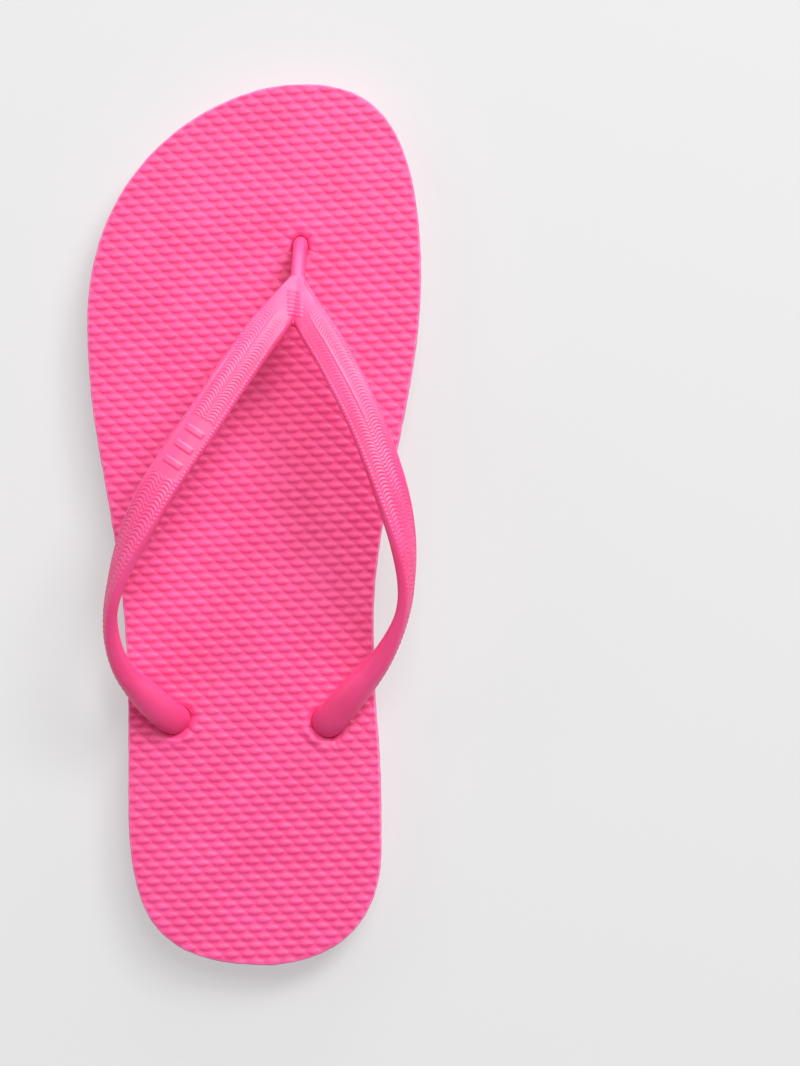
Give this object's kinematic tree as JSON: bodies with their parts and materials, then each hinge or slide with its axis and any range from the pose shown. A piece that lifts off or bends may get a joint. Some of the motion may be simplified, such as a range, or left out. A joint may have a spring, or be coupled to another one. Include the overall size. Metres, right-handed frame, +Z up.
{
  "type": "flip flop",
  "caption": "Left-foot flip flop: a flat foam sole that flexes at the ball, with a soft moulded strap in a Y held by plugs under the sole.",
  "frame": {"origin": "on the ground, under the middle of the sole's outline", "axes": "+Z up; +Y along the shoe to the toe; +X to the big-toe side of the left foot"},
  "size_m": [0.0966, 0.255, 0.0487],
  "materials": {
    "sole_foam": "matte closed-cell rubber foam, embossed footbed",
    "strap": "soft moulded rubber with a satin finish"
  },
  "bodies": {
    "rear": {"sole_rear": "sole_foam", "rear_plug_lateral": "strap", "rear_plug_medial": "strap"},
    "forefoot": {"sole_forefoot": "sole_foam", "toe_plug": "strap"},
    "strap": {"strap_yoke": "strap", "strap_arm_lateral": "strap", "strap_arm_medial": "strap"},
    "post": {"toe_post": "strap"}
  },
  "joints": [
    {"name": "sole_flex", "type": "hinge", "parent": "rear", "child": "forefoot", "pos_m": [0, 0.051, 0.014], "axis": [1, 0, 0], "range_deg": [0, 30], "stiffness_Nm_per_rad": 2.5},
    {"name": "strap_lift", "type": "hinge", "parent": "rear", "child": "strap", "pos_m": [0, -0.062, 0.014], "axis": [1, 0, 0], "range_deg": [0, 8]},
    {"name": "post_tilt", "type": "hinge", "parent": "forefoot", "child": "post", "pos_m": [0.0134, 0.0804, 0.0175], "axis": [1, 0, 0], "range_deg": [-40, 0]}
  ],
  "couplings": [
    {"joint": "strap_lift", "follows": "sole_flex", "ratio": 0.239},
    {"joint": "post_tilt", "follows": "sole_flex", "ratio": -1.289}
  ]
}
